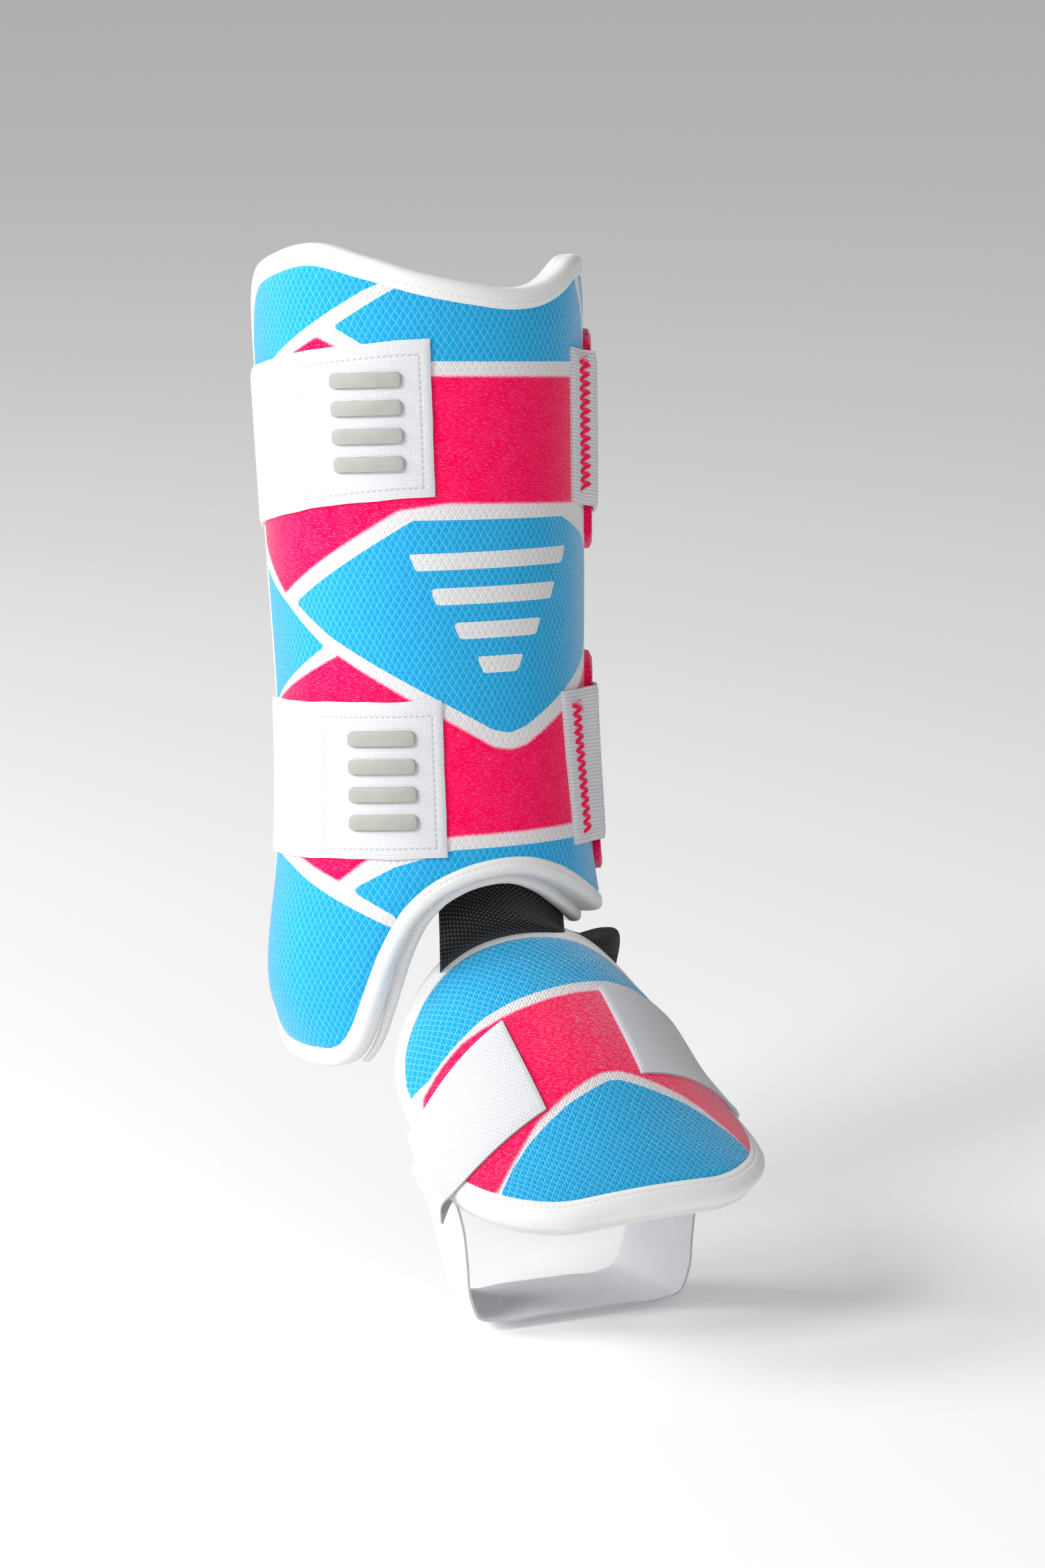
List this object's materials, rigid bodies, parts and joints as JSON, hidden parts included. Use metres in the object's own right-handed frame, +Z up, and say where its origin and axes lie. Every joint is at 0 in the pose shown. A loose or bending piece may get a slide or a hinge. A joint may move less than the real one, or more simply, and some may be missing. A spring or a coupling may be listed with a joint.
{
  "type": "batters leg guard",
  "caption": "Padded shin shell with ankle flare on wide elastic calf straps, joined by webbing to an instep guard with a strap under the sole.",
  "frame": {"origin": "Middle of the leg hollow on the shin's axis, half way between the two leg straps, 0.232 m above the ground that the shoe stands on", "axes": "+Z is up, -Y is the front of the leg and the toes, +X is the outer side of a left leg"},
  "size_m": [0.1304, 0.2348, 0.3618],
  "materials": {
    "printed_knit": "matte sky-blue knit with printed pink and white panels",
    "twill_binding": "matte white twill",
    "lining": "matte white knit lining",
    "elastic": "matte white woven elastic",
    "loop_pile": "brushed pink loop pile",
    "grip_rubber": "satin gray",
    "webbing": "matte black coarse weave"
  },
  "bodies": {
    "root": {"connector_strap": "webbing", "foot_binding": "twill_binding", "foot_pad": "printed_knit", "foot_strap": "elastic", "lower_pile_patch": "loop_pile", "lower_strap": "elastic", "lower_tab_bar_1": "grip_rubber", "lower_tab_bar_2": "grip_rubber", "lower_tab_bar_3": "grip_rubber", "lower_tab_bar_4": "grip_rubber", "shin_binding": "twill_binding", "shin_liner": "lining", "shin_shell": "printed_knit", "upper_pile_patch": "loop_pile", "upper_strap": "elastic", "upper_tab_bar_1": "grip_rubber", "upper_tab_bar_2": "grip_rubber", "upper_tab_bar_3": "grip_rubber", "upper_tab_bar_4": "grip_rubber"}
  },
  "joints": []
}
